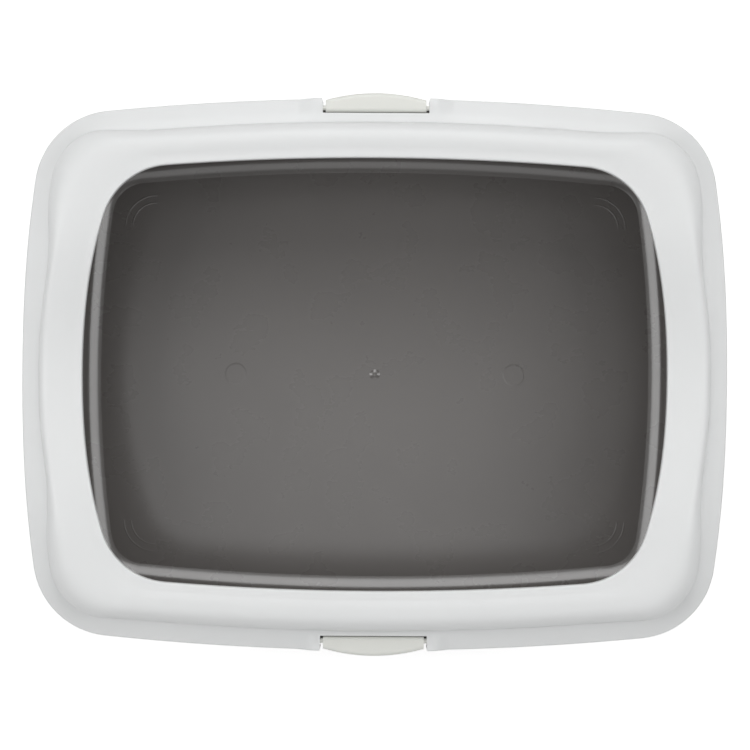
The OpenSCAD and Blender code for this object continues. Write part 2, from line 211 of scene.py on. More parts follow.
def quarter(half_x, half_y, bow_side, bow_long, corner):
    """First quarter of a bowed rounded rectangle, from the X axis to the Y axis."""
    side_centre = Vector((half_x - bow_side, 0))
    long_centre = Vector((0, half_y - bow_long))
    between = long_centre - side_centre
    reach_side, reach_long = bow_side - corner, bow_long - corner
    along = (reach_side**2 - reach_long**2 + between.length_squared) / (2 * between.length)
    across = math.sqrt(reach_side**2 - along**2)
    unit = between.normalized()
    centre = side_centre + unit * along + Vector((-unit.y, unit.x)) * across
    start = math.atan2(centre.y, centre.x - side_centre.x)
    end = math.atan2(centre.y - long_centre.y, centre.x)
    side = [
        side_centre + bow_side * arc_point(start * i / SIDE_STEPS) for i in range(SIDE_STEPS + 1)
    ]
    turn = [
        centre + corner * arc_point(start + (end - start) * i / CORNER_STEPS)
        for i in range(1, CORNER_STEPS + 1)
    ]
    long_side = [
        long_centre + bow_long * arc_point(end + (math.pi / 2 - end) * f)
        for f in long_side_fractions(settings("tray_rim"))
    ]
    return side + turn + long_side


def outline(half_x, half_front, half_back, bow_side, bow_long, corner):
    """Closed outline, counter-clockwise from the +X axis."""
    back = quarter(half_x, half_back, bow_side, bow_long, corner)
    front = quarter(half_x, half_front, bow_side, bow_long, corner)
    last = len(back) - 1
    points = back[:last]
    points += [Vector((-p.x, p.y)) for p in reversed(back[1:])]
    points += [-p for p in front[:last]]
    points += [Vector((p.x, -p.y)) for p in reversed(front[1:])]
    return points


def dip_at(y):
    """1 in the middle of a short side, 0 where the dip has run out."""
    return (1 + math.cos(math.pi * min(1, abs(y) / settings("tray_rim").dip_half))) / 2


def lifted(points, z, dip):
    return [Vector((p.x, p.y, z - dip * dip_at(p.y))) for p in points]


def even_ring(inset, z, dip):
    """Ring parallel to the rim's outer edge."""
    rim = settings("tray_rim")
    half_y = rim.half_width - inset
    points = outline(
        rim.half_length - inset,
        half_y,
        half_y,
        rim.bow_side - inset,
        rim.bow_long - inset,
        rim.corner - inset,
    )
    return lifted(points, z, dip)


def crest_ring(z):
    rim = settings("tray_rim")
    points = outline(
        rim.half_length - rim.crest_side,
        rim.half_width - rim.crest_front,
        rim.half_width - rim.crest_back,
        rim.collar_bow,
        rim.bow_long - rim.crest_back,
        rim.crest_corner,
    )
    return lifted(points, z, rim.collar_dip)


def mouth_ring(back_off, z):
    """Ring around the opening, back_off outside its edge."""
    rim = settings("tray_rim")
    half_y = rim.half_width - rim.mouth + back_off
    points = outline(
        rim.half_length - rim.mouth + back_off,
        half_y,
        half_y,
        rim.collar_bow + back_off,
        rim.bow_long - rim.mouth + back_off,
        rim.mouth_corner + back_off,
    )
    return lifted(points, z, rim.collar_dip)


def shelf_at(point):
    """Width of the level shelf at a point of the collar's foot, as an inward step in x and y."""
    rim = settings("tray_rim")
    along = min(1, abs(point.y) / rim.shelf_half) ** 1.5
    full, gone = rim.half_length - 100 * MM, rim.half_length - 35 * MM
    fade = min(1, max(0, (abs(point.x) - full) / (gone - full)))
    side = rim.shelf_side * math.sin(math.pi * along) ** 2
    long_side = rim.shelf_back if point.y > 0 else rim.shelf_front
    return Vector(
        (
            -math.copysign(side, point.x),
            -math.copysign(long_side * (1 + math.cos(math.pi * fade)) / 2, point.y),
            0,
        )
    )


RAMP_SWELL = 1.2


def platform_at(x):
    """1 on the platform around a notch, 0 past its ramps, which ease out at their foot."""
    rim = settings("tray_rim")
    ramp = min(1, max(0, (abs(x) - rim.platform_flat) / rim.platform_ramp))
    return (1 - ramp) ** 2 * (1 + RAMP_SWELL * ramp)


def raised(ring, rise):
    """The ring with its long sides lifted onto the platforms."""
    far = settings("tray_rim").half_width * 0.8
    return [
        p + Vector((0, 0, rise * platform_at(p.x))) if abs(p.y) > far else p for p in ring
    ]


def blend_rings(start, end, across, up):
    return [
        Vector((a.x + (b.x - a.x) * across, a.y + (b.y - a.y) * across, a.z + (b.z - a.z) * up))
        for a, b in zip(start, end)
    ]


# ---------------------------------------------------------------- mesh helpers


def loft(mesh, rings, closed):
    """Grows a skin through rings of equal length by extruding the first one ring by ring.

    A closed skin comes back to its first ring. Returns the layer that holds ring numbers.
    """
    station = mesh.verts.layers.int.new("station")
    level = mesh.verts.layers.int.new("level")
    made = bmesh.ops.create_circle(mesh, segments=len(rings[0]), radius=1)
    for i, vert in enumerate(made["verts"]):
        vert[station] = i
        vert.co = rings[0][i]
    edges = mesh.edges[:]
    path = rings[1:] + (rings[:1] if closed else [])
    for number, ring in enumerate(path, 1):
        grown = bmesh.ops.extrude_edge_only(mesh, edges=edges)["geom"]
        edges = [e for e in grown if isinstance(e, bmesh.types.BMEdge) and e.is_boundary]
        for vert in (g for g in grown if isinstance(g, bmesh.types.BMVert)):
            vert.co = ring[vert[station]]
            vert[level] = number % len(rings)
    if closed:
        bmesh.ops.remove_doubles(mesh, verts=mesh.verts, dist=WELD)
    return level


def ring_edges(mesh, level, number):
    return [e for e in mesh.edges if all(v[level] == number for v in e.verts)]


ROUND_STEPS = (0, 0.3, 0.7, 1)
ROUND_SHARE = 0.45


def softened(rings, radii):
    """The closed loft's rings, each one with a radius replaced by four that round it off."""
    result = []
    for i, ring in enumerate(rings):
        radius = radii.get(i)
        if not radius:
            result.append(ring)
            continue
        before, after = rings[i - 1], rings[(i + 1) % len(rings)]
        for t in ROUND_STEPS:
            result.append(
                [
                    corner
                    + (p - corner) * min(ROUND_SHARE, radius / (p - corner).length) * (1 - t) ** 2
                    + (n - corner) * min(ROUND_SHARE, radius / (n - corner).length) * t**2
                    for p, corner, n in zip(before, ring, after)
                ]
            )
    return result


def round_edges(mesh, edges, radius, segments=3):
    bmesh.ops.bevel(
        mesh,
        geom=edges,
        offset=radius,
        offset_type="OFFSET",
        affect="EDGES",
        segments=segments,
        profile=0.5,
        material=-1,
        clamp_overlap=True,
    )


def point_outwards(mesh):
    """Turns the whole closed shell so that its faces point out."""
    bmesh.ops.recalc_face_normals(mesh, faces=mesh.faces)
    if mesh.calc_volume(signed=True) < 0:
        bmesh.ops.reverse_faces(mesh, faces=mesh.faces)


def new_piece(name, mesh, crease=SMOOTH_BELOW):
    """An object from the finished bmesh, smooth but for edges sharper than crease degrees."""
    data = bpy.data.meshes.new(name)
    mesh.to_mesh(data)
    mesh.free()
    piece = bpy.data.objects.new(name, data)
    bpy.context.scene.collection.objects.link(piece)
    shade(piece, crease)
    return piece


def shade(piece, crease):
    piece.data.shade_smooth()
    piece.data.set_sharp_from_angle(angle=math.radians(crease))


def combine(piece, tool_mesh, operation, crease=SMOOTH_BELOW):
    """Adds or cuts a closed tool shape, and leaves one plain mesh."""
    tool = new_piece(piece.name + "_tool", tool_mesh)
    step = piece.modifiers.new("combine", "BOOLEAN")
    step.operation = operation
    step.solver = "MANIFOLD"
    step.object = tool
    bpy.context.view_layer.update()
    evaluated = piece.evaluated_get(bpy.context.evaluated_depsgraph_get())
    result = bpy.data.meshes.new_from_object(evaluated)
    if len(result.vertices) in (0, len(piece.data.vertices)):
        raise RuntimeError(f"{piece.name}: {operation} changed nothing")
    piece.modifiers.clear()
    old = piece.data
    piece.data = result
    result.name = piece.name
    bpy.data.meshes.remove(old)
    tool_data = tool.data
    bpy.data.objects.remove(tool)
    bpy.data.meshes.remove(tool_data)
    shade(piece, crease)


def add_box(mesh, low, high):
    """A box between two corners; returns its vertices."""
    middle = (Vector(low) + Vector(high)) / 2
    size = Vector(high) - Vector(low)
    place = Matrix.Translation(middle) @ Matrix.Diagonal((*size, 1))
    return bmesh.ops.create_cube(mesh, size=1, matrix=place)["verts"]


def add_rod(mesh, start, end, radius, segments=48):
    """A capped cylinder between two points; returns its vertices."""
    start, end = Vector(start), Vector(end)
    turn = Vector((0, 0, 1)).rotation_difference(end - start).to_matrix().to_4x4()
    return bmesh.ops.create_cone(
        mesh,
        cap_ends=True,
        segments=segments,
        radius1=radius,
        radius2=radius,
        depth=(end - start).length,
        matrix=Matrix.Translation((start + end) / 2) @ turn,
    )["verts"]


def edges_of(verts):
    return list({e for v in verts for e in v.link_edges})


def mirrored_back(mesh, verts):
    """Copies what belongs to the back to the front as well."""
    geometry = list(verts) + edges_of(verts) + list({f for v in verts for f in v.link_faces})
    copied = bmesh.ops.duplicate(mesh, geom=geometry)["geom"]
    bmesh.ops.scale(
        mesh, vec=(1, -1, 1), verts=[g for g in copied if isinstance(g, bmesh.types.BMVert)]
    )
    faces = [g for g in copied if isinstance(g, bmesh.types.BMFace)]
    bmesh.ops.reverse_faces(mesh, faces=faces)


# ---------------------------------------------------------------- materials


GLOSS_VARIATION = 0.02
GRAIN_HEIGHT = 0.12 * MM
GLOW_DEPTH = 4 * MM


def moulded_plastic(name, base, roughness, grain, variation, scuffs, glow=0, coat=0):
    """Injection-moulded plastic: fine eroded grain, faint flow mottling and uneven gloss."""
    material = bpy.data.materials.new(name)
    material.use_nodes = True
    nodes, links = material.node_tree.nodes, material.node_tree.links
    shader = nodes["Principled BSDF"]
    shader.inputs["IOR"].default_value = 1.49
    shader.inputs["Coat Weight"].default_value = coat
    shader.inputs["Coat Roughness"].default_value = 0.18
    shader.inputs["Coat IOR"].default_value = 1.55
    shader.inputs["Subsurface Weight"].default_value = glow
    shader.inputs["Subsurface Radius"].default_value = (1, 1, 1)
    shader.inputs["Subsurface Scale"].default_value = GLOW_DEPTH
    place = nodes.new("ShaderNodeTexCoord").outputs["Object"]

    def noise(scale, detail, stretch=None):
        texture = nodes.new("ShaderNodeTexNoise")
        texture.inputs["Scale"].default_value = scale
        texture.inputs["Detail"].default_value = detail
        source = place
        if stretch:
            mapping = nodes.new("ShaderNodeMapping")
            mapping.inputs["Scale"].default_value = stretch
            links.new(place, mapping.inputs["Vector"])
            source = mapping.outputs["Vector"]
        links.new(source, texture.inputs["Vector"])
        return texture.outputs["Fac"]

    def between(value, low, high, from_low=0.3, from_high=0.7):
        step = nodes.new("ShaderNodeMapRange")
        step.inputs["From Min"].default_value = from_low
        step.inputs["From Max"].default_value = from_high
        step.inputs["To Min"].default_value = low
        step.inputs["To Max"].default_value = high
        links.new(value, step.inputs["Value"])
        return step.outputs["Result"]

    mottling = noise(9, 4)
    mix = nodes.new("ShaderNodeMix")
    mix.data_type = "RGBA"
    mix.inputs["A"].default_value = (*(c * (1 - variation) for c in base), 1)
    mix.inputs["B"].default_value = (*(min(1, c * (1 + variation)) for c in base), 1)
    links.new(between(mottling, 0, 1), mix.inputs["Factor"])
    links.new(mix.outputs["Result"], shader.inputs["Base Color"])

    scratches = noise(90, 6, stretch=(1, 2.5, 2))
    worn = nodes.new("ShaderNodeMath")
    worn.operation = "ADD"
    smoothest, roughest = roughness - GLOSS_VARIATION, roughness + GLOSS_VARIATION
    links.new(between(noise(28, 5), smoothest, roughest), worn.inputs[0])
    links.new(between(scratches, 0, scuffs, 0.5, 0.75), worn.inputs[1])
    links.new(worn.outputs[0], shader.inputs["Roughness"])

    bump = nodes.new("ShaderNodeBump")
    bump.inputs["Strength"].default_value = grain
    bump.inputs["Distance"].default_value = GRAIN_HEIGHT
    links.new(noise(1100, 3), bump.inputs["Height"])
    links.new(bump.outputs["Normal"], shader.inputs["Normal"])
    return material


def finish_piece(piece, body, node, material):
    """Evens out the shading, gives the plastic, ties the piece to its body and hides the CAD node
    it replaces.
    """
    step = piece.modifiers.new("even_normals", "WEIGHTED_NORMAL")
    step.keep_sharp = True
    step.weight = 50
    piece.data.materials.clear()
    piece.data.materials.append(material)
    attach(piece, body)
    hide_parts(node)


# ---------------------------------------------------------------- the pan


def floor_edge():
    """How far in from the rim's outer edge the flat floor ends."""
    pan = settings("tray_pan")
    return pan.mouth + pan.lean + pan.fillet


def floor_top():
    pan = settings("tray_pan")
    return pan.foot_height + pan.floor_thickness


def body_ring(inset, z):
    """Ring of the pan's body, whose plan is less bowed than the rim's."""
    rim, pan = settings("tray_rim"), settings("tray_pan")
    half_y = rim.half_width - inset
    out = floor_edge() - inset
    points = outline(
        rim.half_length - inset,
        half_y,
        half_y,
        pan.floor_bow_side + out,
        pan.floor_bow_long,
        pan.floor_corner + out,
    )
    return lifted(points, z, 0)


FILLET_STEPS = 12
PAN_WALL_STEPS = 6
FLOOR_MARGIN = 5 * MM


def fillet_rings(radius, z, start=0):
    """Round from the floor's edge outwards and up the wall, which leaves the floor at start."""
    rings = []
    for i in range(FILLET_STEPS + 1):
        turn = start + (math.pi / 2 - start) * i / FILLET_STEPS
        out = radius * (math.sin(turn) - math.sin(start)) / (1 - math.sin(start))
        up = radius * (1 - math.cos(turn) / math.cos(start))
        rings.append(body_ring(floor_edge() - out, z + up))
    return rings


def between_rings(start, end, count):
    return [blend_rings(start, end, i / count, i / count) for i in range(1, count)]


def pan_rings():
    """Rings of the pan's skin from inside its floor, over the flange and to its underside."""
    rim, pan = settings("tray_rim"), settings("tray_pan")
    top, dip, edge = pan.flange_height, rim.ledge_dip, pan.flange_edge
    low, under = top - pan.flange_drop, top - pan.floor_thickness
    wall_top = pan.mouth - pan.wall
    inside = [body_ring(floor_edge() + FLOOR_MARGIN, floor_top())] + fillet_rings(
        pan.fillet, floor_top(), pan.floor_crease
    )
    mouth = even_ring(pan.mouth, rim.edge_height - 3 * MM, dip)
    flange = [
        mouth,
        even_ring(pan.mouth - 0.2 * MM, top + 0.7 * MM, dip),
        even_ring(pan.mouth - 0.8 * MM, top + 1.3 * MM, dip),
        even_ring(pan.mouth - 2 * MM, top + 1.3 * MM, dip),
        even_ring(edge + 1 * MM, top, dip),
        even_ring(edge + 0.3 * MM, top - 0.3 * MM, dip),
        even_ring(edge, top - 1 * MM, dip),
        even_ring(edge, low + 0.5 * MM, dip),
        even_ring(edge + 0.5 * MM, low, dip),
        even_ring(edge + 1.5 * MM, low, dip),
        even_ring(edge + 2 * MM, low + 0.5 * MM, dip),
        even_ring(edge + 2 * MM, under, dip),
        even_ring(wall_top - 1 * MM, under + 1 * MM, dip),
        even_ring(wall_top, under, dip),
    ]
    outside = fillet_rings(pan.fillet + pan.wall, pan.foot_height)[::-1]
    outside.append(body_ring(floor_edge() + FLOOR_MARGIN, pan.foot_height))
    return (
        inside
        + between_rings(inside[-1], mouth, PAN_WALL_STEPS)
        + flange
        + between_rings(flange[-1], outside[0], PAN_WALL_STEPS)
        + outside
    )


def make_pan_shell():
    mesh = bmesh.new()
    rings = pan_rings()
    level = loft(mesh, rings, closed=False)
    for number in (0, len(rings) - 1):
        bmesh.ops.edgeloop_fill(mesh, edges=ring_edges(mesh, level, number))
    point_outwards(mesh)
    return new_piece("pan_moulding", mesh)


LEVEL = 0.99999
NEARLY_LEVEL = 0.9999


def crease_floor(piece):
    """Keeps the line sharp where the flat floor meets the fillet, and shades the floor flat."""
    mesh = bmesh.new()
    mesh.from_mesh(piece.data)
    for face in mesh.faces:
        if abs(face.normal.z) > LEVEL:
            face.smooth = False
            for edge in face.edges:
                if any(abs(f.normal.z) < NEARLY_LEVEL for f in edge.link_faces):
                    edge.smooth = False
    mesh.to_mesh(piece.data)
    mesh.free()


ARC_HALF_HEIGHT = 0.5 * MM
ARC_SUNK = 0.44 * MM


def round_feet():
    """Round feet under the middle of each half."""
    pan = settings("tray_pan")
    mesh = bmesh.new()
    top = pan.foot_height + 1 * MM
    for side in (-1, 1):
        x = side * pan.foot_pitch / 2
        verts = add_rod(mesh, (x, 0, 0), (x, 0, top), pan.foot_width / 2)
        low = [e for e in edges_of(verts) if all(v.co.z < 0.1 * MM for v in e.verts)]
        round_edges(mesh, low, 0.5 * MM, 2)
    return mesh


def corner_arcs(middle_z, half_height, sides):
    """Two bars around each corner of the floor, with sections of so many sides."""
    rim, pan = settings("tray_rim"), settings("tray_pan")
    inset = floor_edge() + pan.arc_inset
    half = pan.arc_width / 2
    stretch = 1 / math.cos(math.pi / sides) if sides == 4 else 1
    mesh = bmesh.new()
    for radius in (pan.arc_inner, pan.arc_outer):
        place = (
            Matrix.Translation((radius + half, 0, middle_z))
            @ Matrix.Rotation(math.pi / 2, 4, "X")
            @ Matrix.Diagonal((half * stretch, half_height * stretch, 1, 1))
            @ Matrix.Rotation(math.pi / sides, 4, "Z")
        )
        verts = bmesh.ops.create_circle(
            mesh, cap_ends=True, segments=sides, radius=1, matrix=place
        )["verts"]
        face = verts[0].link_faces[0]
        bmesh.ops.spin(
            mesh,
            geom=[face, *face.edges, *face.verts],
            cent=(0, 0, 0),
            axis=(0, 0, 1),
            angle=math.pi / 2,
            steps=24,
        )
    bmesh.ops.remove_doubles(mesh, verts=mesh.verts, dist=WELD)
    bmesh.ops.translate(
        mesh, vec=(rim.half_length - inset, rim.half_width - inset, 0), verts=mesh.verts
    )
    for axis in ("X", "Y"):
        bmesh.ops.mirror(
            mesh, geom=mesh.verts[:] + mesh.edges[:] + mesh.faces[:], axis=axis, merge_dist=-1
        )
    point_outwards(mesh)
    return mesh


HOOK_CLEARANCE = 1.4 * MM
HOOK_THICKNESS = 2.6 * MM
FLANGE_THICKNESS = 2.6 * MM


def recess_shapes():
    """Gaps in the flange's turned-down edge, where the latches hook under the flange."""
    pan, latch, rim = settings("tray_pan"), settings("tray_latch"), settings("tray_rim")
    hinge_y = rim.half_width - latch.hinge_inset
    half = latch.width / 2 + latch.end_gap + 1 * MM
    mesh = bmesh.new()
    verts = add_box(
        mesh,
        (-half, hinge_y + HOOK_CLEARANCE, pan.flange_height - pan.flange_drop - 1 * MM),
        (half, rim.half_width, pan.flange_height + 2 * MM),
    )
    mirrored_back(mesh, verts)
    return mesh


def turned_boss(mesh, x, profile, segments):
    """A low boss on the floor, turned from (radius, height) points that start under its foot."""
    verts = [mesh.verts.new((x + radius, 0, floor_top() + z)) for radius, z in profile]
    edges = [mesh.edges.new(pair) for pair in zip(verts, verts[1:])]
    bmesh.ops.spin(
        mesh,
        geom=verts + edges,
        cent=(x, 0, 0),
        axis=(0, 0, 1),
        angle=math.tau,
        steps=segments,
        use_merge=True,
    )


DOME_STEPS = 8


def floor_marks():
    """What moulding leaves on the floor: low discs over the round feet and the gate's nub."""
    pan = settings("tray_pan")
    foot, nub = pan.foot_width / 2, pan.nub_width / 2
    sunk, low, soft = -0.4 * MM, pan.disc_height, 1.2 * MM
    mesh = bmesh.new()
    for side in (-1, 1):
        disc = [(foot, sunk), (foot, 0.01 * MM), (foot - soft, low), (0, low)]
        turned_boss(mesh, side * pan.foot_pitch / 2, disc, 64)
    shares = [1 - i / DOME_STEPS for i in range(DOME_STEPS + 1)]
    dome = [(nub * share, pan.nub_height * (1 - share**2)) for share in shares]
    turned_boss(mesh, 0, [(nub, sunk)] + dome, 48)
    bmesh.ops.remove_doubles(mesh, verts=mesh.verts, dist=WELD)
    bmesh.ops.holes_fill(mesh, edges=[e for e in mesh.edges if e.is_boundary])
    point_outwards(mesh)
    return mesh


class TRAY_OT_pan(bpy.types.Operator):
    """Mould the dark litter pan with its flange, feet and floor marks"""

    bl_idname = "tray.pan"
    bl_label = "Pan"

    def execute(self, context):
        pan = settings("tray_pan")
        piece = make_pan_shell()
        combine(piece, round_feet(), "UNION")
        foot_height = (pan.foot_height + 1 * MM) / 2
        combine(piece, corner_arcs(foot_height, foot_height, 4), "UNION")
        combine(piece, floor_marks(), "UNION")
        combine(piece, corner_arcs(floor_top() - ARC_SUNK, ARC_HALF_HEIGHT, 16), "UNION")
        combine(piece, recess_shapes(), "DIFFERENCE")
        crease_floor(piece)
        material = moulded_plastic("pan_grey", pan.colour, 0.28, 0.03, 0.04, 0.006, coat=1)
        finish_piece(piece, "pan", "pan", material)
        return {"FINISHED"}


# ---------------------------------------------------------------- the rim

WALL_STEPS = 10
CREST_POWER = 2.4
PLATEAU_STEPS = 4
PLATEAU_POWER = 1.6
LIP_STEPS = 12
LIP_POWER = 0.3


def wall_rings(foot, crest):
    """The collar's outer wall: steep at its foot and level at its crest."""
    rings = []
    for i in range(1, WALL_STEPS + 1):
        rise = math.sin(math.pi / 2 * i / WALL_STEPS)
        across = 1 - (1 - rise**CREST_POWER) ** (1 / CREST_POWER)
        rings.append(blend_rings(foot, crest, across, rise))
    return rings


def lip_rings(top):
    """The lip that rolls from the collar's top down to the opening."""
    rim = settings("tray_rim")
    rings = []
    for i in range(LIP_STEPS + 1):
        turn = math.pi / 2 * i / LIP_STEPS
        back_off = rim.lip_run * (1 - math.sin(turn) ** LIP_POWER)
        rings.append(mouth_ring(back_off, top - rim.lip_drop * (1 - math.cos(turn) ** LIP_POWER)))
    return rings


def make_rim_shell():
    rim, pan = settings("tray_rim"), settings("tray_pan")
    dip = rim.ledge_dip
    edge, crease = rim.edge_height, rim.edge_height + rim.ledge_rise
    crest_z = RIM_HIGH.z
    under = crease - 3.2 * MM
    inner = pan.mouth + 0.6 * MM
    inner_back = inner + 2 * MM
    inner_lean = 0.92 * MM
    flange_low = edge - 8 * MM
    shelf = even_ring(rim.ledge_width + 0.5 * MM, crease, dip)
    foot = [p + shelf_at(p) for p in shelf]
    crest = crest_ring(crest_z)
    top = crest_z - 2 * MM
    lip = lip_rings(top)
    shares = [i / PLATEAU_STEPS for i in range(1, PLATEAU_STEPS)]
    plateau = [blend_rings(crest, lip[0], share, share**PLATEAU_POWER) for share in shares]
    radii = {}
    rings = []

    def add(ring, radius=0):
        radii[len(rings)] = radius
        rings.append(ring)

    add(even_ring(rim.wall, edge - rim.skirt, dip), 0.5 * MM)
    add(even_ring(0.4 * MM, edge - rim.skirt, dip), 0.7 * MM)
    add(raised(even_ring(0, edge - 0.6 * MM, dip), rim.ledge_rise), 1.5 * MM)
    add(raised(even_ring(4.5 * MM, edge + 1.5 * MM, dip), rim.ledge_rise * 0.74))
    add(raised(even_ring(9 * MM, edge + 3.4 * MM, dip), rim.ledge_rise * 0.42))
    add(raised(even_ring(rim.ledge_width, crease - 0.8 * MM, dip), 0.8 * MM))
    add(foot, 0.5 * MM)
    for ring in wall_rings(foot, crest) + plateau + lip:
        add(ring)
    add(mouth_ring(0.5 * MM, top - rim.lip_drop - 0.4 * MM))
    add(mouth_ring(rim.wall - 0.8 * MM, top - rim.lip_drop - 0.3 * MM))
    add(mouth_ring(rim.wall - 0.2 * MM, top - rim.lip_drop + 0.8 * MM))
    add(mouth_ring(rim.wall + 0.6 * MM, top - rim.wall - 0.2 * MM))
    add(crest_ring(crest_z - rim.wall))
    under_crest = even_ring(inner_back, crest_z - 10.5 * MM, rim.collar_dip - 7 * MM)
    add(blend_rings(rings[-1], under_crest, 0.5, 0.4))
    add(under_crest)
    add(even_ring(inner_back + inner_lean, flange_low, dip), 0.5 * MM)
    add(even_ring(inner + inner_lean, flange_low, dip), 0.5 * MM)
    add(even_ring(inner, under, dip))
    add(even_ring(rim.ledge_width, under, dip))
    add(even_ring(rim.wall, edge - rim.wall, dip))
    mesh = bmesh.new()
    loft(mesh, softened(rings, radii), closed=True)
    point_outwards(mesh)
    return new_piece("rim_moulding", mesh)


NOTCH_STEPS = 6


def notch_shapes():
    """Cutters for the latch notches: straight walls with rounded corners at the rim's edge."""
    rim, latch = settings("tray_rim"), settings("tray_latch")
    half = latch.width / 2 + latch.end_gap
    back = rim.half_width - latch.hinge_inset - latch.barrel - latch.back_gap
    corner = 1.6 * MM
    edge = rim.half_width - 0.35 * MM
    low, high = rim.edge_height - rim.skirt - 2 * MM, rim.edge_height + 12 * MM
    right = [(half, back), (half, edge - corner)]
    for i in range(1, NOTCH_STEPS + 1):
        turn = math.pi / 2 * i / NOTCH_STEPS
        right.append((half + corner * (1 - math.cos(turn)), edge - corner * (1 - math.sin(turn))))
    right.append((half + corner, edge + 6 * MM))
    plan = right + [(-x, y) for x, y in reversed(right)]
    mesh = bmesh.new()
    verts = [mesh.verts.new((x, y, low)) for x, y in plan]
    face = mesh.faces.new(verts)
    grown = bmesh.ops.extrude_face_region(mesh, geom=[face])["geom"]
    bmesh.ops.translate(
        mesh,
        vec=(0, 0, high - low),
        verts=[g for g in grown if isinstance(g, bmesh.types.BMVert)],
    )
    bmesh.ops.recalc_face_normals(mesh, faces=mesh.faces)
    mirrored_back(mesh, mesh.verts[:])
    return mesh


def cheek_shapes():
    """Round bosses beside the notches that hold the trunnions' sockets."""
    rim, latch = settings("tray_rim"), settings("tray_latch")
    start = latch.width / 2 + latch.end_gap - 0.2 * MM
    hinge_y = rim.half_width - latch.hinge_inset
    radius = latch.trunnion + 1.2 * MM
    mesh = bmesh.new()
    for side in (-1, 1):
        add_rod(
            mesh,
            (side * start, hinge_y, latch.hinge_height),
            (side * (start + 5.5 * MM), hinge_y, latch.hinge_height),
            radius,
        )
    mirrored_back(mesh, mesh.verts[:])
    return mesh


def socket_shapes():
    """Cutters for the holes that the trunnions turn in."""
    rim, latch = settings("tray_rim"), settings("tray_latch")
    half = latch.width / 2 + latch.end_gap + 4 * MM
    hinge_y = rim.half_width - latch.hinge_inset
    mesh = bmesh.new()
    add_rod(
        mesh,
        (-half, hinge_y, latch.hinge_height),
        (half, hinge_y, latch.hinge_height),
        latch.trunnion + 0.08 * MM,
    )
    mirrored_back(mesh, mesh.verts[:])
    return mesh


class TRAY_OT_rim(bpy.types.Operator):
    """Mould the white splash rim with its ledge, collar, rolled lip and latch notches"""

    bl_idname = "tray.rim"
    bl_label = "Rim"

    def execute(self, context):
        piece = make_rim_shell()
        combine(piece, cheek_shapes(), "UNION")
        combine(piece, notch_shapes(), "DIFFERENCE")
        combine(piece, socket_shapes(), "DIFFERENCE")
        material = moulded_plastic(
            "rim_white", settings("tray_rim").colour, 0.42, 0.05, 0.006, 0.03, 0.3
        )
        finish_piece(piece, "rim", "rim", material)
        return {"FINISHED"}


# ---------------------------------------------------------------- the latches


CAP_ROUND_STEPS = 8
CAP_BOW_STEPS = 48
CAP_OVERRUN = 1.25


def make_latch_cap():
    """The latch's plate and outer wall: one section spun about the centre of its bow."""
    latch = settings("tray_latch")
    half = latch.width / 2
    bow_radius = (latch.bow**2 + half**2) / (2 * latch.bow)
    centre_y = latch.reach - bow_radius
    inner = bow_radius - latch.bow - latch.hinge_inset - 1 * MM
    wall, top, low = latch.wall, latch.barrel, -latch.drop
    r, out = latch.rounding, bow_radius
    section = [(inner, 0), (inner, top), (out - r, top)]
    for i in range(1, CAP_ROUND_STEPS + 1):
        turn = math.pi / 2 * i / CAP_ROUND_STEPS
        section.append((out - r + r * math.sin(turn), top - r + r * math.cos(turn)))
    section += [
        (out, low + 0.7 * MM),
        (out - 0.2 * MM, low + 0.2 * MM),
        (out - 0.7 * MM, low),
        (out - wall + 0.7 * MM, low),
        (out - wall + 0.2 * MM, low + 0.2 * MM),
        (out - wall, low + 0.7 * MM),
        (out - wall, -1.5 * MM),
        (out - wall - 0.45 * MM, -0.45 * MM),
        (out - wall - 1.5 * MM, 0),
    ]
    mesh = bmesh.new()
    spread = CAP_OVERRUN * math.asin(half / bow_radius)
    start = Matrix.Translation((0, centre_y, 0)) @ Matrix.Rotation(-spread, 4, "Z")
    verts = [mesh.verts.new(start @ Vector((0, y, z))) for y, z in section]
    face = mesh.faces.new(verts)
    bmesh.ops.spin(
        mesh,
        geom=[face, *face.edges, *face.verts],
        cent=(0, centre_y, 0),
        axis=(0, 0, 1),
        angle=2 * spread,
        steps=CAP_BOW_STEPS,
    )
    bmesh.ops.remove_doubles(mesh, verts=mesh.verts, dist=WELD)
    for side in (-1, 1):
        trim(mesh, (side * half, 0, 0), (side, 0, 0))
    trim(mesh, (0, 0, 0), (0, -1, 0))
    point_outwards(mesh)
    ends = [
        e
        for e in mesh.edges
        if len(e.link_faces) == 2
        and any(abs(f.normal.x) > 0.99 for f in e.link_faces)
        and all(abs(abs(v.co.x) - half) < 1e-6 and v.co.y > 0.5 * MM for v in e.verts)
    ]
    round_edges(mesh, ends, 0.5 * MM, 3)
    return mesh


def trim(mesh, place, away):
    """Cuts off what lies beyond a plane and closes the cut."""
    cut = bmesh.ops.bisect_plane(
        mesh,
        geom=mesh.verts[:] + mesh.edges[:] + mesh.faces[:],
        plane_co=place,
        plane_no=away,
        clear_outer=True,
        dist=WELD,
    )["geom_cut"]
    edges = [g for g in cut if isinstance(g, bmesh.types.BMEdge)]
    bmesh.ops.edgeloop_fill(mesh, edges=edges)


def hinge_shapes():
    """Barrel and trunnions on the hinge axis."""
    latch = settings("tray_latch")
    half = latch.width / 2
    reach = half + latch.end_gap + 3.5 * MM
    mesh = bmesh.new()
    verts = add_rod(mesh, (-half, 0, 0), (half, 0, 0), latch.barrel, 64)
    ends = [e for e in edges_of(verts) if abs(e.verts[0].co.x - e.verts[1].co.x) < 1e-6]
    round_edges(mesh, ends, 0.4 * MM, 2)
    pins = bmesh.new()
    verts = add_rod(pins, (-reach, 0, 0), (reach, 0, 0), latch.trunnion)
    ends = [e for e in edges_of(verts) if abs(e.verts[0].co.x - e.verts[1].co.x) < 1e-6]
    round_edges(pins, ends, 0.4 * MM, 2)
    return mesh, pins


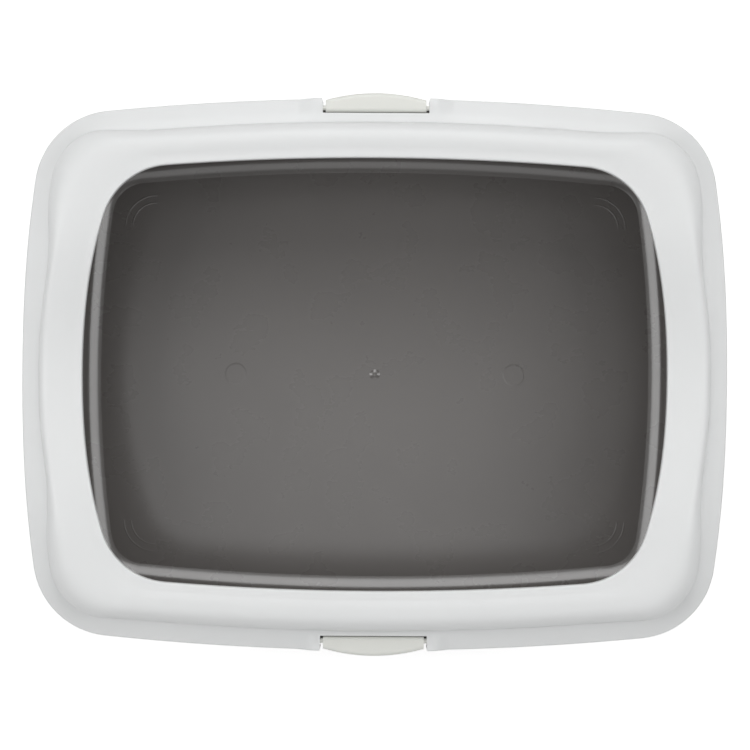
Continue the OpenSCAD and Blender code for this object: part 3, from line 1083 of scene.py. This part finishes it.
def hook_radius():
    """Radius about the hinge that clears the flange's lower edge when the latch turns."""
    pan, latch = settings("tray_pan"), settings("tray_latch")
    drop = latch.hinge_height - (pan.flange_height - FLANGE_THICKNESS) + 0.1 * MM
    return math.hypot(HOOK_CLEARANCE, drop) + 0.4 * MM


def hook_shapes():
    """Two hooks that reach from the outer wall under the pan's flange."""
    latch = settings("tray_latch")
    half = latch.width / 2
    bow_radius = (latch.bow**2 + half**2) / (2 * latch.bow)
    radius = hook_radius()
    mesh = bmesh.new()
    for side in (-1, 1):
        x = side * (half - latch.hook_width / 2 - 4 * MM)
        far = abs(x) + latch.hook_width / 2
        curved_back = bow_radius - math.sqrt(bow_radius**2 - far**2)
        reach = latch.reach - latch.wall / 2 - curved_back
        add_box(
            mesh,
            (x - latch.hook_width / 2, -1.5 * MM, -radius - HOOK_THICKNESS),
            (x + latch.hook_width / 2, reach, -radius * 0.8),
        )
    return mesh


def make_latch(name, body, side, material):
    """One latch, built at its hinge, then carried to its notch and turned for the front."""
    rim, latch = settings("tray_rim"), settings("tray_latch")
    half = latch.width / 2 + 1 * MM
    cleared = bmesh.new()
    add_rod(cleared, (-half, 0, 0), (half, 0, 0), hook_radius(), 96)
    hooks = new_piece(name + "_hooks", hook_shapes())
    combine(hooks, cleared, "DIFFERENCE")
    piece = new_piece(name, make_latch_cap())
    barrel, pins = hinge_shapes()
    combine(piece, barrel, "UNION")
    combine(piece, pins, "UNION")
    hook_mesh = bmesh.new()
    hook_mesh.from_mesh(hooks.data)
    data = hooks.data
    bpy.data.objects.remove(hooks)
    bpy.data.meshes.remove(data)
    combine(piece, hook_mesh, "UNION")
    hinge_y = rim.half_width - latch.hinge_inset
    mesh = bmesh.new()
    mesh.from_mesh(piece.data)
    if side < 0:
        half_turn = Matrix.Rotation(math.pi, 3, "Z")
        bmesh.ops.rotate(mesh, cent=(0, 0, 0), matrix=half_turn, verts=mesh.verts)
    bmesh.ops.translate(mesh, vec=(0, side * hinge_y, latch.hinge_height), verts=mesh.verts)
    mesh.to_mesh(piece.data)
    mesh.free()
    shade(piece, SMOOTH_BELOW)
    finish_piece(piece, body, body, material)


class TRAY_OT_latches(bpy.types.Operator):
    """Make the two off-white snap latches with their hinge pins and hooks"""

    bl_idname = "tray.latches"
    bl_label = "Latches"

    def execute(self, context):
        material = moulded_plastic(
            "latch_ivory", settings("tray_latch").colour, 0.40, 0.05, 0.006, 0.03, 0.3
        )
        make_latch("front_latch_moulding", "front_latch", -1, material)
        make_latch("rear_latch_moulding", "rear_latch", 1, material)
        return {"FINISHED"}


# ---------------------------------------------------------------- the stage


FLOOR_PALE = 0.86
FLOOR_GLOW = 0.56

# Each lamp's place and size; the stage's setting of the same name is its power.
SIDE_LAMPS = {
    "back": ((0, 1.45, 1.6), (1.0, 1.7)),
    "front": ((0, -1.55, 1.3), (1.9, 1.5)),
    "right": ((1.45, 0.1, 1.6), (0.7, 1.7)),
    "left": ((-1.45, 0.1, 1.6), (0.7, 1.7)),
}
TOP_LAMP = Vector((-0.1, -0.25, 2.6))
TOP_LAMP_SIZE = (0.9, 0.7)
CAMERA_SHIFT = (0.2 * MM, -0.4 * MM)


def floor_material():
    """Pale floor that the camera sees as white, but for the object's soft shadow."""
    material = bpy.data.materials.new("studio_floor")
    material.use_nodes = True
    nodes, links = material.node_tree.nodes, material.node_tree.links
    nodes.clear()
    output = nodes.new("ShaderNodeOutputMaterial")
    diffuse = nodes.new("ShaderNodeBsdfDiffuse")
    diffuse.inputs["Color"].default_value = (*[FLOOR_PALE] * 3, 1)
    glow = nodes.new("ShaderNodeEmission")
    path = nodes.new("ShaderNodeLightPath")
    seen = nodes.new("ShaderNodeMath")
    seen.operation = "MULTIPLY"
    seen.inputs[1].default_value = FLOOR_GLOW
    links.new(path.outputs["Is Camera Ray"], seen.inputs[0])
    links.new(seen.outputs[0], glow.inputs["Strength"])
    both = nodes.new("ShaderNodeAddShader")
    links.new(diffuse.outputs[0], both.inputs[0])
    links.new(glow.outputs[0], both.inputs[1])
    links.new(both.outputs[0], output.inputs["Surface"])
    return material


def white_world(strength):
    """Even pale light, white where the camera looks straight at it."""
    world = bpy.data.worlds.new("studio")
    bpy.context.scene.world = world
    world.use_nodes = True
    nodes, links = world.node_tree.nodes, world.node_tree.links
    background = nodes["Background"]
    background.inputs["Color"].default_value = (1, 1, 1, 1)
    path = nodes.new("ShaderNodeLightPath")
    seen = nodes.new("ShaderNodeMix")
    seen.data_type = "FLOAT"
    seen.inputs["A"].default_value = strength
    seen.inputs["B"].default_value = 1
    links.new(path.outputs["Is Camera Ray"], seen.inputs["Factor"])
    links.new(seen.outputs["Result"], background.inputs["Strength"])


def add_lamp(name, place, aim, size, power):
    lamp = bpy.data.lights.new(name, "AREA")
    lamp.shape = "RECTANGLE"
    lamp.size, lamp.size_y = size
    lamp.energy = power
    holder = bpy.data.objects.new(name, lamp)
    holder.location = place
    direction = Vector(aim) - Vector(place)
    holder.rotation_euler = direction.to_track_quat("-Z", "Y").to_euler()
    bpy.context.scene.collection.objects.link(holder)


class TRAY_OT_stage(bpy.types.Operator):
    """Set the pale floor, the lamps and the camera straight above the tray"""

    bl_idname = "tray.stage"
    bl_label = "Stage"

    def execute(self, context):
        stage, rim = settings("tray_stage"), settings("tray_rim")
        mesh = bmesh.new()
        bmesh.ops.create_circle(
            mesh, cap_ends=True, segments=stage.floor_sides, radius=stage.floor_size
        )
        floor = new_piece("floor", mesh)
        floor.data.materials.append(floor_material())
        white_world(stage.fill)
        centre = (0, 0, rim.edge_height)
        for name, (place, size) in SIDE_LAMPS.items():
            add_lamp("lamp_" + name, place, centre, size, getattr(stage, name))
        below = (TOP_LAMP.x, TOP_LAMP.y, 0)
        add_lamp("lamp_above", TOP_LAMP, below, TOP_LAMP_SIZE, stage.top)
        camera = bpy.data.cameras.new("camera")
        camera.sensor_width = 36
        camera.lens = camera.sensor_width * stage.camera_height / stage.view_width
        eye = bpy.data.objects.new("camera", camera)
        eye.location = (*CAMERA_SHIFT, rim.edge_height + stage.camera_height)
        eye.rotation_euler = (0, 0, stage.roll)
        context.scene.collection.objects.link(eye)
        context.scene.camera = eye
        context.scene.view_settings.view_transform = "Standard"
        return {"FINISHED"}


# ---------------------------------------------------------------- the add-on


class TRAY_PT_panel(bpy.types.Panel):
    """Lists the tray's pieces in the sidebar"""

    bl_label = "Litter Tray"
    bl_idname = "TRAY_PT_panel"
    bl_space_type = "VIEW_3D"
    bl_region_type = "UI"
    bl_category = "Litter Tray"

    def draw(self, context):
        for name, operator in (
            ("tray_pan", TRAY_OT_pan),
            ("tray_rim", TRAY_OT_rim),
            ("tray_latch", TRAY_OT_latches),
            ("tray_stage", TRAY_OT_stage),
        ):
            box = self.layout.box()
            box.operator(operator.bl_idname)
            group = getattr(context.scene, name)
            for key in group.__annotations__:
                box.prop(group, key)


GROUPS = {
    "tray_rim": RimSettings,
    "tray_pan": PanSettings,
    "tray_latch": LatchSettings,
    "tray_stage": StageSettings,
}
CLASSES = [
    *GROUPS.values(),
    TRAY_OT_pan,
    TRAY_OT_rim,
    TRAY_OT_latches,
    TRAY_OT_stage,
    TRAY_PT_panel,
]


def register():
    for entry in CLASSES:
        bpy.utils.register_class(entry)
    for name, group in GROUPS.items():
        setattr(bpy.types.Scene, name, PointerProperty(type=group))


def unregister():
    for name in GROUPS:
        delattr(bpy.types.Scene, name)
    for entry in reversed(CLASSES):
        bpy.utils.unregister_class(entry)


def main():
    register()
    bpy.ops.tray.stage()
    bpy.ops.tray.pan()
    bpy.ops.tray.rim()
    bpy.ops.tray.latches()


if __name__ == "__main__":
    main()
